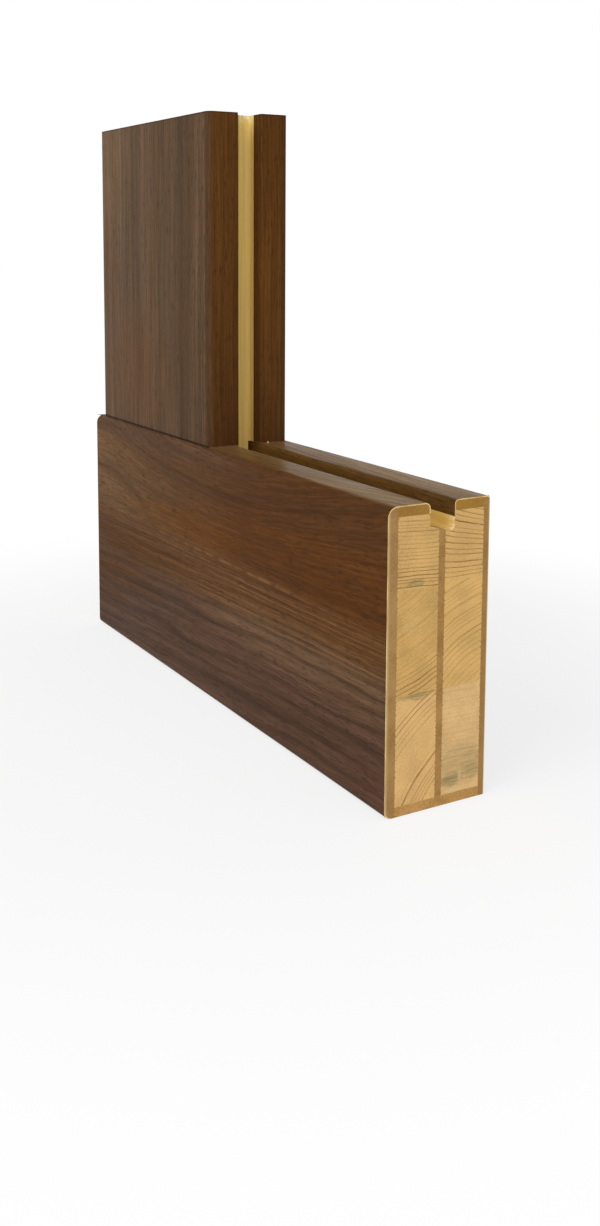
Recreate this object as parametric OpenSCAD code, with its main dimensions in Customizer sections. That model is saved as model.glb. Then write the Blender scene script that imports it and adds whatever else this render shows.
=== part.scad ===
/* [Stile, the member that lies along the bottom] */
// Length of the stile, from its plain end to its sawn end
stile_l = 272; // [160:1:600]
// Width of the stile, which is its height as it lies
stile_w = 114; // [90:1:160]
// Thickness of the stile, front face to back face
stile_t = 45; // [42:0.5:55]
// Height of the outer lath of each core column
stile_outer_lath = 41; // [20:0.5:44]
// Height of the middle lath of the front core column
stile_front_middle_lath = 38.5; // [8:0.5:40]
// Height of the middle lath of the back core column
stile_back_middle_lath = 39.5; // [8:0.5:40]

/* [Rail, the member that stands on the stile] */
// Length of the rail that the sample keeps, above the stile
rail_l = 148; // [60:1:600]
// Width of the rail, along the stile
rail_w = 125; // [90:1:150]
// Thickness of the rail, front face to back face
rail_t = 39.5; // [38:0.5:42]
// Distance of the rail's outer edge from the stile's plain end
rail_inset = 3; // [0:0.5:8]
// Height of the outer lath of each core column
rail_outer_lath = 44; // [20:0.5:46]
// Height of the middle lath of each core column
rail_middle_lath = 42; // [8:0.5:42]
// How far the strip between the rail's core columns stands in front of the groove's centre line
rail_strip_shift = 2.1; // [0:0.1:2.6]

/* [Groove, in the inner edge of both members] */
// Width of the groove
groove_w = 10.8; // [8:0.1:12]
// Distance of the groove's centre line from the stile's front face
groove_centre = 23.7; // [22:0.1:24]
// Depth of the groove at its front wall
groove_front_depth = 8.8; // [8.8:0.1:12]
// Depth of the groove at its back wall, where the cutter went deeper
groove_back_depth = 11.8; // [8.8:0.1:14]
// Radius that the cutter leaves between the floor and the back wall, at most what fits below the film
groove_corner_r = 2; // [0.5:0.1:3]

/* [Layers of the section] */
// Thickness of the wood-print film
film_t = 0.4; // [0.2:0.1:0.8]
// How far the front film is folded down its wall of the groove
film_front_reach = 4; // [3.5:0.1:8]
// How far the stile's back film is folded down its wall of the groove
stile_back_reach = 6.2; // [3.5:0.1:8]
// How far the rail's back film is folded down its wall of the groove
rail_back_reach = 7.1; // [3.5:0.1:8]
// Thickness of the front facing board
front_facing_t = 4; // [3:0.1:5]
// Thickness of the back facing board
back_facing_t = 2.2; // [2:0.1:3.5]
// Thickness of the strip between the two core columns
centre_strip_t = 2.8; // [2:0.1:4]
// Thickness of the strips that edge the lips beside the groove
lip_strip_t = 3.6; // [3:0.1:5]
// Thickness of the strip that edges the outer side
outer_strip_t = 3.8; // [3:0.1:6]

/* [Rounded edges] */
// Radius of the stile's front edge beside the groove
stile_front_r = 4; // [1:0.5:6]
// Radius of the rail's front edge beside the groove
rail_front_r = 3; // [1:0.5:6]
// Radius of the back edge beside the groove
back_r = 1.2; // [0.9:0.1:3]
// Radius of the front lip where it turns into the groove
front_lip_r = 2.2; // [0.9:0.1:3]
// Radius of the stile's back lip where it turns into the groove
stile_back_lip_r = 1.6; // [0.9:0.1:3]
// Radius of the rail's back lip where it turns into the groove
rail_back_lip_r = 1; // [0.9:0.1:3]
// Radius of the front edge on the outer side
outer_r = 3; // [1:0.5:4]

/* [Tongue, the end of the rail's core in the stile's groove] */
// Length of the tongue
tongue_l = 8.2; // [5:0.1:8.4]
// Clearance between the tongue and the groove's front wall
tongue_front_gap = 0.2; // [0.1:0.1:1]
// Clearance between the tongue and the groove's back wall
tongue_back_gap = 0.8; // [0.1:0.1:1.5]

/* [Hidden] */
$fn = 48;

// A section is drawn flat: x runs from the stile's front face to its back face, and y from the
// member's outer edge to its inner edge, the one with the groove. Each member is a list of the
// front face's place, the back face's place, the width, the radius of the front inner edge, the
// heights of the laths, outer then middle, in the front and the back column, the middle of the
// centre strip, the back film's reach down the groove and the back lip's radius.
rail_setback = (stile_t - rail_t) / 2;
STILE = [0, stile_t, stile_w, stile_front_r,
         [stile_outer_lath, stile_front_middle_lath], [stile_outer_lath, stile_back_middle_lath],
         groove_centre, stile_back_reach, stile_back_lip_r];
RAIL = [rail_setback, stile_t - rail_setback, rail_w, rail_front_r,
        [rail_outer_lath, rail_middle_lath], [rail_outer_lath, rail_middle_lath],
        groove_centre - rail_strip_shift, rail_back_reach, rail_back_lip_r];
function front_of(member) = member[0];
function back_of(member) = member[1];
function width_of(member) = member[2];
function front_radius_of(member) = member[3];
function laths_of(member, column) = member[column == "front" ? 4 : 5];
function strip_front(member) = member[6] - centre_strip_t / 2;
function strip_back(member) = member[6] + centre_strip_t / 2;
function film_reach(member, side) = side == "front" ? film_front_reach : member[7];
function back_lip_radius_of(member) = member[8];

groove_front = groove_centre - groove_w / 2;
groove_back = groove_centre + groove_w / 2;
// Slope of the groove's floor, and the corner's radius that this slope leaves room for
floor_fall = (groove_back_depth - groove_front_depth) / groove_w;
lowest_in_groove = max(tongue_l, stile_back_reach, rail_back_reach);
corner_room = (groove_back_depth - lowest_in_groove) / (floor_fall + sqrt(1 + floor_fall ^ 2));
floor_corner_r = min(groove_corner_r, corner_room);
// How far a cutting shape runs past what it cuts
over = 1;

film_colour = "#5C4230";
facing_colour = "#A98558";
strip_colour = "#A87F42";
pine_colour = "#CFA667";

// Waste outside a rounded corner at the origin, with the wood towards +x and +y
module corner_waste(r) {
    difference() {
        translate([-over, -over]) square(r + over);
        translate([r, r]) circle(r);
    }
}

// The member's outline, drawn in by a margin on every face, with the groove cut
module outline(member, margin) {
    front = front_of(member) + margin;
    back = back_of(member) - margin;
    top = width_of(member) - margin;
    lip_front = groove_front - margin;
    lip_back = groove_back + margin;
    difference() {
        translate([front, margin]) square([back - front, top - margin]);
        groove_area(member, margin);
        translate([front, top]) mirror([0, 1]) corner_waste(front_radius_of(member) - margin);
        translate([back, top]) rotate(180) corner_waste(back_r - margin);
        translate([lip_front, top]) rotate(180) corner_waste(front_lip_r - margin);
        translate([lip_back, top]) mirror([0, 1]) corner_waste(back_lip_radius_of(member) - margin);
        translate([front, margin]) corner_waste(outer_r - margin);
    }
}

// The area that the cutter takes out, wider by a margin each side, with its floor falling to the back
module groove_area(member, margin) {
    top = width_of(member);
    difference() {
        polygon([[groove_front - margin, top + over],
                 [groove_front - margin, top - groove_front_depth],
                 [groove_back + margin, top - groove_back_depth],
                 [groove_back + margin, top + over]]);
        translate([groove_back + margin, top - groove_back_depth]) floor_corner(floor_corner_r);
    }
}

// Wood left between the groove's floor and its back wall, which meet at the origin
module floor_corner(r) {
    slope = atan(floor_fall);
    centre = [-r, r * (floor_fall + 1 / cos(slope))];
    difference() {
        polygon([centre, centre - r * [sin(slope), cos(slope)], [over, -floor_fall * over - over],
                 [over, centre[1]]]);
        translate(centre) circle(r);
    }
}

// The band that the film fills, all round the outline
module film_band(member) {
    difference() {
        outline(member, 0);
        outline(member, film_t);
    }
}

// The film of one face, from its cut edge on the outer side to its cut edge in the groove
module film_section(member, side) {
    reach = film_reach(member, side);
    inner = width_of(member) - reach;
    intersection() {
        film_band(member);
        if (side == "front") {
            translate([front_of(member), 0]) square([outer_r, inner]);
            translate([front_of(member), inner - over])
                square([groove_centre - front_of(member), reach + over]);
        } else {
            translate([back_of(member) - film_t, 0]) square([film_t, inner]);
            translate([groove_centre, inner]) square([back_of(member) - groove_centre, reach]);
        }
    }
}

// What the films cover: the whole wooden section
module wood_section(member) {
    difference() {
        outline(member, 0);
        film_section(member, "front");
        film_section(member, "back");
    }
}

// The part of the wooden section between two places through the thickness and two heights
module wood_between(member, x0, x1, y0, y1) {
    intersection() {
        wood_section(member);
        translate([x0, y0]) square([x1 - x0, y1 - y0]);
    }
}

function facing_inside(member, side) =
    side == "front" ? front_of(member) + film_t + front_facing_t : back_of(member) - film_t - back_facing_t;

module facing_section(member, side) {
    top = width_of(member);
    if (side == "front")
        wood_between(member, front_of(member), facing_inside(member, side), 0, top);
    else
        wood_between(member, facing_inside(member, side), back_of(member), 0, top);
}

module lip_strip_section(member, side) {
    top = width_of(member);
    bottom = top - film_t - lip_strip_t;
    if (side == "front")
        wood_between(member, facing_inside(member, side), groove_centre, bottom, top);
    else
        wood_between(member, groove_centre, facing_inside(member, side), bottom, top);
}

module outer_strip_section(member) {
    wood_between(member, facing_inside(member, "front"), facing_inside(member, "back"), 0, outer_strip_t);
}

module centre_strip_section(member) {
    wood_between(member, strip_front(member), strip_back(member), outer_strip_t, width_of(member));
}

// One lath of a core column: 0 is the outer one, 1 the middle one and 2 the one that the groove cuts
module lath_section(member, column, place) {
    laths = laths_of(member, column);
    joints = [outer_strip_t, outer_strip_t + laths[0], outer_strip_t + laths[0] + laths[1],
              width_of(member) - film_t - lip_strip_t];
    if (column == "front")
        wood_between(member, facing_inside(member, column), strip_front(member), joints[place], joints[place + 1]);
    else
        wood_between(member, strip_back(member), facing_inside(member, column), joints[place], joints[place + 1]);
}

// Puts the stile's plain end, front face and bottom about the middle of the stile's footprint
module from_corner() {
    translate([-stile_l / 2, -stile_t / 2, 0]) children();
}

// A section run along the stile
module along_stile() {
    from_corner() rotate([90, 0, 90]) linear_extrude(stile_l) children();
}

// A section run up the rail, from the stile's inner edge
module along_rail() {
    from_corner() translate([rail_inset, 0, stile_w]) mirror([1, -1, 0]) linear_extrude(rail_l) children();
}

// A core section run up the rail, with its share of the tongue below
module core_along_rail() {
    along_rail() children();
    from_corner() translate([rail_inset, 0, stile_w - tongue_l]) mirror([1, -1, 0])
        linear_extrude(tongue_l) intersection() {
            children();
            tongue_area();
        }
}

module tongue_area() {
    front = groove_front + tongue_front_gap;
    back = groove_back - tongue_back_gap;
    translate([front, 0]) square([back - front, rail_w]);
}

module stile_film(side) color(film_colour) along_stile() film_section(STILE, side);
module stile_facing(side) color(facing_colour) along_stile() facing_section(STILE, side);
module stile_lip_strip(side) color(strip_colour) along_stile() lip_strip_section(STILE, side);
module stile_outer_strip() color(strip_colour) along_stile() outer_strip_section(STILE);
module stile_centre_strip() color(strip_colour) along_stile() centre_strip_section(STILE);
module stile_core(column, place) color(pine_colour) along_stile() lath_section(STILE, column, place);

module rail_film(side) color(film_colour) along_rail() film_section(RAIL, side);
module rail_facing(side) color(facing_colour) along_rail() facing_section(RAIL, side);
module rail_lip_strip(side) color(strip_colour) along_rail() lip_strip_section(RAIL, side);
module rail_outer_strip() color(strip_colour) core_along_rail() outer_strip_section(RAIL);
module rail_centre_strip() color(strip_colour) core_along_rail() centre_strip_section(RAIL);
module rail_core(column, place) color(pine_colour) core_along_rail() lath_section(RAIL, column, place);

stile_film("front");  // stile_front_film
stile_film("back");  // stile_back_film
stile_facing("front");  // stile_front_facing
stile_facing("back");  // stile_back_facing
stile_lip_strip("front");  // stile_front_lip_strip
stile_lip_strip("back");  // stile_back_lip_strip
stile_outer_strip();
stile_centre_strip();
stile_core("front", 0);  // stile_front_core_outer
stile_core("front", 1);  // stile_front_core_middle
stile_core("front", 2);  // stile_front_core_inner
stile_core("back", 0);  // stile_back_core_outer
stile_core("back", 1);  // stile_back_core_middle
stile_core("back", 2);  // stile_back_core_inner
rail_film("front");  // rail_front_film
rail_film("back");  // rail_back_film
rail_facing("front");  // rail_front_facing
rail_facing("back");  // rail_back_facing
rail_lip_strip("front");  // rail_front_lip_strip
rail_lip_strip("back");  // rail_back_lip_strip
rail_outer_strip();
rail_centre_strip();
rail_core("front", 0);  // rail_front_core_outer
rail_core("front", 1);  // rail_front_core_middle
rail_core("front", 2);  // rail_front_core_inner
rail_core("back", 0);  // rail_back_core_outer
rail_core("back", 1);  // rail_back_core_middle
rail_core("back", 2);  // rail_back_core_inner
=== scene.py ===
"""The looks of a cut-away corner of a film-wrapped timber door leaf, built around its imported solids.

A stile lies along the bottom and a rail stands on its inner edge. Both are built up of pine laths and
fibreboard, wrapped in a walnut-print film, and the sawn end of the stile shows every layer.
Sizes are in millimetres unless a name says otherwise, and Blender's own lengths are in metres.
"""

import logging
import math
from abc import ABC, abstractmethod
from dataclasses import dataclass, replace
from enum import Enum
from typing import Sequence

import bmesh
import bpy
from mathutils import Euler, Matrix, Vector


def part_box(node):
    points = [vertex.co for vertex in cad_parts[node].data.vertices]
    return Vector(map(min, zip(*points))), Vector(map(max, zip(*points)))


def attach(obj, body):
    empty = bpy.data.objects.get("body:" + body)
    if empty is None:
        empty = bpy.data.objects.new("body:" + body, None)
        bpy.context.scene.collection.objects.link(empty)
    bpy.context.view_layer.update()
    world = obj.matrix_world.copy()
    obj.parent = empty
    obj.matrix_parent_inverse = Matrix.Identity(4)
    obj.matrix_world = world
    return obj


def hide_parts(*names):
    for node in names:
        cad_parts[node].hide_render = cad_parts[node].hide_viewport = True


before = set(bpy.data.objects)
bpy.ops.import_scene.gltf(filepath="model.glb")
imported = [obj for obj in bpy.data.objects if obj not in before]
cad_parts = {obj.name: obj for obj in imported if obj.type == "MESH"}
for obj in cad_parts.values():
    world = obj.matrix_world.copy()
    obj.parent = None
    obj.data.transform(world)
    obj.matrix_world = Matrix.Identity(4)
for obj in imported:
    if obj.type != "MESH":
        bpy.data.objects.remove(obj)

LOG = logging.getLogger("door_section")
MM = 0.001
BODY = "root"
SMOOTH = {"interpolation_type": "SMOOTHSTEP"}

Socket = bpy.types.NodeSocket
Tree = bpy.types.NodeTree
Feed = float | str | tuple | Socket | None
Pair = tuple[float, float]
# A fade is given by the two places it runs between, and then by its value at each.
Fade = tuple[float, float, float, float]


class Member(Enum):
    """The two members of the corner, by the first word of their nodes' names."""

    STILE = "stile"
    RAIL = "rail"


class Side(Enum):
    """The two faces of the leaf."""

    FRONT = "front"
    BACK = "back"


class Figure(Enum):
    """How the printed veneer was cut, with how far its streaks are drawn out."""

    CATHEDRAL = 1.5
    STRAIGHT = 2.4


class Tone(str, Enum):
    """The colours of the printed walnut as they are seen, and of the sheen, shade and shadow painted over it.
    """

    CROWN_PALE = "#684A2D"
    CROWN_DEEP = "#54341A"
    GROUND = "#5F3E21"
    HEART = "#5A3516"
    SAP = "#593F30"
    AMBER = "#52300B"
    HONEY = "#693F12"
    RAIL_LIP = "#5C3916"
    STILE_LIP = "#5E3B11"
    # Painted sheen on the stile's lip top, stronger toward the sawn end.
    LIP_SHEEN = "#8A6A3C"
    # Painted shade down the stile's groove wall.
    GROOVE_SHADE = "#5B401D"
    # A dark tone for pores and print lines, and also for painted shade at the films' edges and foot.
    SHADE = "#372417"
    # A light tone for the print's bright line, and also for a painted highlight on the rail.
    BRIGHT = "#856040"
    STRIPE_DARK = "#4E3D2A"
    STRIPE_LIGHT = "#674E3A"
    STRIPE_WARM = "#624328"
    STRIPE_PALE = "#755B40"
    # Painted shadow line where the rail's film meets the stile.
    JOINT_SHADOW = "#1C1008"
    FOOT_LINE = "#96694A"


def linear(code: str) -> tuple[float, float, float, float]:
    """Turns a colour as it is seen into the linear one that a shader takes.

    Args:
        code: an sRGB colour, such as "#C8A064".

    Returns:
        The linear red, green, blue and an alpha of 1.
    """
    channels = [int(code[place:place + 2], 16) / 255 for place in (1, 3, 5)]
    return (*(c / 12.92 if c <= 0.04045 else ((c + 0.055) / 1.055) ** 2.4 for c in channels), 1.0)


def add(tree: Tree, kind: str, *feeds: Feed, **settings: object) -> Socket | None:
    """Adds a node with its settings and links.

    Args:
        tree: the tree that takes the node.
        kind: the node's kind, without its ShaderNode prefix.
        feeds: what goes into its inputs, in their order, as sockets, values or sRGB colours. None
            leaves one as it is.
        settings: its properties by name, or inputs by name with _ for a space.

    Returns:
        The node's first output in use, if it has one. The node itself is that socket's node.
    """
    node = tree.nodes.new("ShaderNode" + kind)
    inputs = {}
    for name, value in settings.items():
        if name in node.bl_rna.properties:
            setattr(node, name, value)
        else:
            inputs[name.replace("_", " ")] = value
    open_inputs = [socket for socket in node.inputs if socket.enabled]
    wanted = [(open_inputs[place], feed) for place, feed in enumerate(feeds)]
    wanted += [(node.inputs[name], value) for name, value in inputs.items()]
    for socket, feed in wanted:
        if isinstance(feed, Socket):
            tree.links.new(feed, socket)
        elif feed is not None:
            socket.default_value = linear(feed) if isinstance(feed, str) else feed
    return next((socket for socket in node.outputs if socket.enabled), None)


def overlay(tree: Tree, colour: Feed, *coats: tuple[Feed, ...]) -> Socket:
    """Lays tints over a colour, one coat after another.

    Args:
        tree: the material's tree.
        colour: the colour underneath.
        coats: each coat's tint, and then the shares whose product says how much of it covers.

    Returns:
        The colour under its last coat.
    """
    for tint, cover, *shares in coats:
        for share in shares:
            cover = add(tree, "Math", cover, share, operation="MULTIPLY")
        colour = add(tree, "Mix", cover, colour, tint, data_type="RGBA")
    return colour


def apart(tree: Tree, first: Feed, second: Feed) -> Socket:
    """Measures how far two values lie apart."""
    return add(tree, "Math", add(tree, "Math", first, second, operation="SUBTRACT"), operation="ABSOLUTE")


def ellipse(tree: Tree, first: Socket, second: Socket, centre: Pair, reach: Pair = (1.0, 1.0)) -> Socket:
    """Measures how far a point lies from an ellipse's middle.

    Args:
        tree: the material's tree.
        first: the point's first coordinate.
        second: its second coordinate.
        centre: the ellipse's middle.
        reach: its half sizes.

    Returns:
        The distance, which is 1 on the ellipse.
    """
    point = add(tree, "CombineXYZ", first, second)
    offset = add(tree, "VectorMath", point, (*centre, 0.0), operation="SUBTRACT")
    scaled = add(tree, "VectorMath", offset, (*reach, 1.0), operation="DIVIDE")
    return add(tree, "VectorMath", scaled, operation="LENGTH")


def window(tree: Tree, value: Socket, low: float, high: float, edge: float) -> Socket:
    """Fades in at one value and out at another.

    Args:
        tree: the material's tree.
        value: what is measured.
        low: where the window opens.
        high: where it closes.
        edge: how wide each fade is.

    Returns:
        1 inside the window and 0 outside it.
    """
    rise = add(tree, "MapRange", value, low - edge / 2, low + edge / 2, 0.0, 1.0, **SMOOTH)
    fall = add(tree, "MapRange", value, high - edge / 2, high + edge / 2, 1.0, 0.0, **SMOOTH)
    return add(tree, "Math", rise, fall, operation="MULTIPLY")


def streaks(tree: Tree, along: Socket, across: Socket, length: float, width: float, seed: float,
            detail: float = 2.0) -> Socket:
    """Draws soft streaks that run along the grain.

    Args:
        tree: the material's tree.
        along: the distance along the grain.
        across: the distance across it.
        length: a streak's usual length.
        width: its usual width.
        seed: moves the pattern, so that two layers differ.
        detail: how much finer grain each streak carries.

    Returns:
        A noise about 0.5.
    """
    run = add(tree, "Math", along, 1 / length, seed, operation="MULTIPLY_ADD")
    cross = add(tree, "Math", across, 1 / width, seed * 3, operation="MULTIPLY_ADD")
    place = add(tree, "CombineXYZ", run, cross)
    return add(tree, "TexNoise", Vector=place, Scale=1.0, Detail=detail, Roughness=0.55,
               noise_dimensions="2D")


def set_curve(socket: Socket, points: Sequence[Pair]) -> Socket:
    """Shapes a float curve.

    Args:
        socket: the output of a float curve node.
        points: the curve's points, from 0 to 1 each way.

    Returns:
        The same socket.
    """
    mapping = socket.node.mapping
    curve = mapping.curves[0]
    while len(curve.points) > 2:
        curve.points.remove(curve.points[1])
    curve.points[0].location, curve.points[1].location = points[0], points[-1]
    for point in points[1:-1]:
        curve.points.new(*point)
    mapping.update()
    return socket


@dataclass(frozen=True)
class SectionFrame:
    """Where a member's section lies in the row frame.

    Its own coordinates are through the thickness from the stile's front face, across from the member's
    outer edge to its grooved edge, and along the member.
    """

    member: Member
    origin: tuple[float, float, float]

    @property
    def order(self) -> tuple[int, int, int]:
        """The row-frame axes that run through, across and along."""
        return (1, 2, 0) if self.member is Member.STILE else (1, 0, 2)

    def direction(self, through: float, across: float, along: float) -> Vector:
        """Turns a direction in the section into one in the row frame.

        Args:
            through: how far it goes through the thickness.
            across: how far it goes across.
            along: how far it goes along the member.

        Returns:
            The same direction in the row frame.
        """
        vector = Vector((0.0, 0.0, 0.0))
        for axis, length in zip(self.order, (through, across, along)):
            vector[axis] = length
        return vector

    def place(self, through: float, across: float, along: float) -> Vector:
        """Puts a point of the section in the row frame, in metres."""
        return (Vector(self.origin) + self.direction(through, across, along)) * MM

    def sockets(self, tree: Tree) -> tuple[Socket, Socket, Socket]:
        """Reads the section's coordinates in a material.

        Args:
            tree: the material's tree.

        Returns:
            The distances through, across and along.
        """
        place = add(tree, "TexCoord").node.outputs["Object"]
        scaled = add(tree, "VectorMath", place, operation="SCALE", Scale=1 / MM)
        moved = add(tree, "VectorMath", scaled, self.origin, operation="SUBTRACT")
        axes = add(tree, "SeparateXYZ", moved).node.outputs
        return tuple(axes[axis] for axis in self.order)


def section_frames() -> dict[Member, SectionFrame]:
    """Finds both members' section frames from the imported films.

    Returns:
        Each member's section frame.
    """
    lows = {member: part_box(f"{member.value}_front_film")[0] / MM for member in Member}
    front = lows[Member.STILE].y
    return {member: SectionFrame(member, (low.x, front, low.z)) for member, low in lows.items()}


@dataclass(frozen=True)
class Finish(ABC):
    """A finish, named for its real material and for how its surface was made."""

    name: str

    @abstractmethod
    def surface(self, tree: Tree) -> Socket:
        """Draws the finish's shader."""

    def material(self) -> bpy.types.Material:
        """Makes the finish's material.

        Returns:
            The material.
        """
        made = bpy.data.materials.new(self.name)
        made.use_nodes = True
        made.node_tree.nodes.clear()
        add(made.node_tree, "OutputMaterial", self.surface(made.node_tree))
        return made


@dataclass(frozen=True)
class StreakLayer:
    """One layer of the print's streaks: their size, their seed and how far they vary the tone."""

    length: float
    width: float
    seed: float
    share: float


@dataclass(frozen=True)
class Patch:
    """A long soft ellipse in the print, by its middle and half sizes, along and across the film."""

    centre: Pair
    reach: Pair
    strength: float

    def cover(self, tree: Tree, along: Socket, girth: Socket) -> Socket:
        """Says how much of its tint shows: its whole strength in the middle, and none outside."""
        radius = ellipse(tree, along, girth, self.centre, self.reach)
        return add(tree, "MapRange", radius, 1.1, 0.3, 0.0, self.strength, **SMOOTH)


# Clouds, broad and narrow stripes, and fine dashes, from the widest layer to the finest.
STREAK_LAYERS = (
    StreakLayer(length=60.0, width=22.0, seed=0.7, share=0.08),
    StreakLayer(length=150.0, width=5.0, seed=1.7, share=0.13),
    StreakLayer(length=90.0, width=1.9, seed=4.9, share=0.1125),
    StreakLayer(length=32.0, width=1.1, seed=9.4, share=0.12),
    StreakLayer(length=9.0, width=0.7, seed=3.2, share=0.15),
)
# The flat-sawn print's patches with their tones, and the straight print's warm and pale ones.
HEART_PATCHES = (
    (Tone.HEART, Patch(centre=(225.0, 81.0), reach=(150.0, 19.0), strength=1.0)),
    (Tone.HONEY, Patch(centre=(110.0, 75.0), reach=(80.0, 10.0), strength=0.65)),
    (Tone.SAP, Patch(centre=(75.0, 113.0), reach=(120.0, 12.0), strength=0.6)),
    (Tone.AMBER, Patch(centre=(20.0, 54.0), reach=(110.0, 11.0), strength=0.9)),
    (Tone.AMBER, Patch(centre=(0.0, 36.0), reach=(95.0, 11.0), strength=0.9)),
    (Tone.STRIPE_PALE, Patch(centre=(225.0, 43.0), reach=(115.0, 15.0), strength=0.45)),
    (Tone.AMBER, Patch(centre=(0.0, 22.0), reach=(50.0, 12.0), strength=0.55)),
)
WARM_PATCHES = (
    Patch(centre=(25.0, 40.0), reach=(45.0, 55.0), strength=0.6),
    Patch(centre=(80.0, 14.0), reach=(90.0, 12.0), strength=0.45),
)
PALE_PATCH = Patch(centre=(140.0, 12.0), reach=(70.0, 34.0), strength=0.5)
# The heart's upper and lower curves, by their points along and across the film.
UPPER_CURVE = ((0, 113), (36, 110), (54, 105.7), (84, 100.7), (116, 98.7), (166, 98.1), (196, 100.7),
               (216, 102.7), (256, 109.7), (272, 113))
LOWER_CURVE = ((0, 88), (30, 85.7), (48, 81.7), (62, 75.7), (82, 70), (110, 67), (272, 67))
# How light the straight stripes are, by their places across the film.
STRIPES = ((0, 0.6), (12, 0.8), (24, 0.72), (37, 0.35), (46, 0.5), (57, 0.75), (66, 0.5), (77, 0.3),
           (84, 0.65), (92, 0.3), (102, 0.28), (112, 0.6), (122, 0.4), (135, 0.4), (150, 0.5))


@dataclass(frozen=True)
class WalnutPrint(Finish):
    """Walnut-printed PVC film, calendered, with a satin skin and fine pores pressed in along the grain.

    It gives the eye a dark brown with soft stripes and short fine dashes, and a thin warm veil where it is
    seen almost edge on. The pores are really 0.3 mm wide, too fine for the picture, so they are drawn wider.
    Places on the lip are measured from the face's edge, and places along it from the film's first end.
    """

    figure: Figure
    length: float
    width: float
    turned: bool = False
    stands: bool = False
    heart_line: float = 67.3
    heart_rise: float = 31.0
    curve_height: float = 120.0
    upper_fade: Fade = (25.0, 90.0, 0.25, 1.0)
    lower_fade: Fade = (50.0, 85.0, 1.0, 0.0)
    sap_below: Fade = (50.0, 36.0, 0.0, 1.0)
    crown_deepens: Fade = (20.0, 170.0, 0.0, 1.0)
    crisp_stretch: Pair = (75.0, 205.0)
    lines_start: float = 40.0
    lines_clear_up: Fade = (40.0, 170.0, 0.5, 1.0)
    bands_below: Fade = (50.0, 38.0, 0.0, 1.0)
    band_spacing: float = 7.4
    back_patch_share: float = 0.4
    stripes_end: float = 150.0
    pore: Pair = (6.0, 0.7)
    pore_depth_m: float = 0.00005
    # Painted shade where the film turns round the outer edge, which on the stile is its bottom by the floor.
    outer_edge_shade: Fade = (1.4, 3.2, 0.9, 0.0)
    # Painted shade in a thin line along the stile film's plain end.
    plain_end: Fade = (0.4, 1.2, 0.8, 0.0)
    rail_lip: Fade = (-3.0, 2.0, 0.0, 0.93)
    stile_lip: Fade = (-1.0, 4.0, 0.0, 0.93)
    # Painted sheen on the stile's lip top, growing toward the sawn end.
    lip_sheen_fade: Fade = (165.0, 250.0, 0.0, 0.5)
    lip_top: Pair = (1.0, 12.5)
    # Painted shade down the stile's groove wall.
    groove_wall_shade: Fade = (12.0, 14.5, 0.0, 0.95)
    # How high the line at the rail's foot reaches: a painted shadow on the face, the film's pale cut edge on
    # the lip.
    foot_line: Pair = (1.1, 0.55)
    foot_shade: Fade = (0.0, 80.0, 0.34, 0.0)
    # Painted shade over the rail's rounded front edge.
    rounding_shade: Pair = (-4.2, 2.6)
    rounding_shade_share: float = 0.24
    # A painted highlight line on the rail's front just before its rounded edge.
    rounding_highlight: float = -4.3
    roughness: float = 0.3
    gloss: float = 0.015
    haze: float = 0.38
    haze_roughness: float = 0.22
    haze_tint: str = "#FFE3B0"

    def surface(self, tree: Tree) -> Socket:
        """Draws the film's printed side on its unrolled map.

        Args:
            tree: the material's tree.

        Returns:
            The film's shader.
        """
        unrolled = add(tree, "UVMap", uv_map="unrolled")
        scaled = add(tree, "VectorMath", unrolled, operation="SCALE", Scale=1 / MM)
        run, round_edge, _ = add(tree, "SeparateXYZ", scaled).node.outputs
        past_edge = add(tree, "Math", round_edge, self.width, operation="SUBTRACT")
        along, girth = run, round_edge
        if self.turned:
            along = add(tree, "Math", self.length, run, operation="SUBTRACT")
            girth = add(tree, "Math", self.width, round_edge, operation="SUBTRACT")
        draw = self.cathedral if self.figure is Figure.CATHEDRAL else self.straight
        colour, grain = draw(tree, along, girth)
        colour = self.lipped(tree, run, past_edge, colour)
        colour = self.striped(tree, along, grain, colour)
        pores = self.pores(tree, along, grain)
        # Painted shade round the film's outer edge.
        bent = add(tree, "MapRange", round_edge, *self.outer_edge_shade, **SMOOTH)
        colour = overlay(tree, colour, (Tone.SHADE, pores), (Tone.SHADE, bent))
        if self.stands:
            colour = self.footed(tree, run, round_edge, past_edge, colour)
        else:
            # Painted shade in a thin line along the stile film's plain end.
            end = add(tree, "MapRange", run, *self.plain_end, **SMOOTH)
            colour = overlay(tree, colour, (Tone.SHADE, end))
        height = add(tree, "Math", pores, -1.0, operation="MULTIPLY")
        bump = add(tree, "Bump", Strength=0.6, Distance=self.pore_depth_m, Height=height)
        sheen = streaks(tree, along, grain, length=45.0, width=1.6, seed=6.6, detail=1.5)
        sheen = add(tree, "MapRange", sheen, 0.35, 0.65, self.roughness - 0.07, self.roughness + 0.12)
        return add(tree, "BsdfPrincipled", Base_Color=colour, Roughness=sheen, Normal=bump,
                   Specular_IOR_Level=self.gloss, Sheen_Weight=self.haze, Sheen_Roughness=self.haze_roughness,
                   Sheen_Tint=self.haze_tint)

    def lipped(self, tree: Tree, run: Socket, past_edge: Socket, colour: Socket) -> Socket:
        """Prints the lip a plainer brown; on the stile it adds painted sheen toward the sawn end and painted
        shade in the groove.

        Args:
            tree: the material's tree.
            run: the distance from the film's first end.
            past_edge: the distance round the member from the face's edge.
            colour: the colour so far.

        Returns:
            The colour with the lip's own.
        """
        if self.stands:
            on_lip = add(tree, "MapRange", past_edge, *self.rail_lip, **SMOOTH)
            return overlay(tree, colour, (Tone.RAIL_LIP, on_lip))
        on_lip = add(tree, "MapRange", past_edge, *self.stile_lip, **SMOOTH)
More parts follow.
